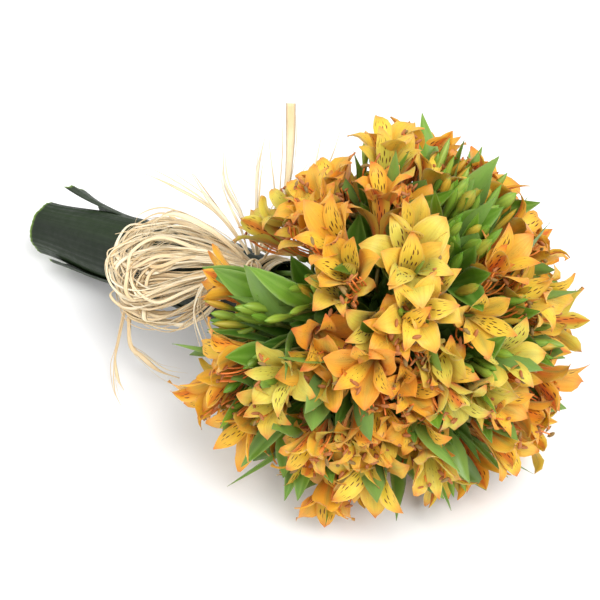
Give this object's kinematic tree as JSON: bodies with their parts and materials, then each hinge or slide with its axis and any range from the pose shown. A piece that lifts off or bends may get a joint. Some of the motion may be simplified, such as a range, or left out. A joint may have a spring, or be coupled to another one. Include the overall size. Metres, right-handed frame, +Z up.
{
  "type": "bouquet of alstroemerias",
  "caption": "Hand-tied bouquet lying on its side: a dome of lily-like florets, buds and leaves on a straight handle wrapped in broad leaves, tied with a raffia bow.",
  "frame": {"origin": "centre of the bounding box on the surface the bouquet lies on", "axes": "+X along the bouquet from the stems' cut ends to the dome, +Z up, -Y towards the side the bow hangs on"},
  "size_m": [0.4634, 0.2788, 0.2341],
  "materials": {
    "flower": "fresh flowers, green leaves and stems, soft satin",
    "wrap_leaf": "broad dark green leaf, satin, ribbed along its length",
    "raffia": "dry natural raffia, matt"
  },
  "bodies": {
    "root": {"alstroemeria_01": "flower", "alstroemeria_02": "flower", "alstroemeria_03": "flower", "alstroemeria_04": "flower", "alstroemeria_05": "flower", "alstroemeria_06": "flower", "alstroemeria_07": "flower", "alstroemeria_08": "flower", "alstroemeria_09": "flower", "alstroemeria_10": "flower", "alstroemeria_11": "flower", "alstroemeria_12": "flower", "alstroemeria_13": "flower", "alstroemeria_14": "flower", "alstroemeria_15": "flower", "alstroemeria_16": "flower", "alstroemeria_17": "flower", "alstroemeria_18": "flower", "alstroemeria_19": "flower", "alstroemeria_20": "flower", "alstroemeria_21": "flower", "alstroemeria_22": "flower", "alstroemeria_23": "flower", "alstroemeria_24": "flower", "wrap_leaf_front": "wrap_leaf", "wrap_leaf_under": "wrap_leaf", "wrap_leaf_back": "wrap_leaf", "raffia_band": "raffia", "raffia_bow": "raffia", "raffia_tail_floor_wide": "raffia", "raffia_tail_floor_thin": "raffia", "raffia_tail_near": "raffia", "raffia_tail_arch": "raffia", "raffia_tail_level": "raffia", "raffia_tail_back_low": "raffia", "raffia_tail_back_mid": "raffia", "raffia_tail_back_high": "raffia", "raffia_tail_up_thin": "raffia", "raffia_tail_up_wide": "raffia", "raffia_tail_far_mid": "raffia", "raffia_tail_far_long": "raffia"}
  },
  "joints": []
}
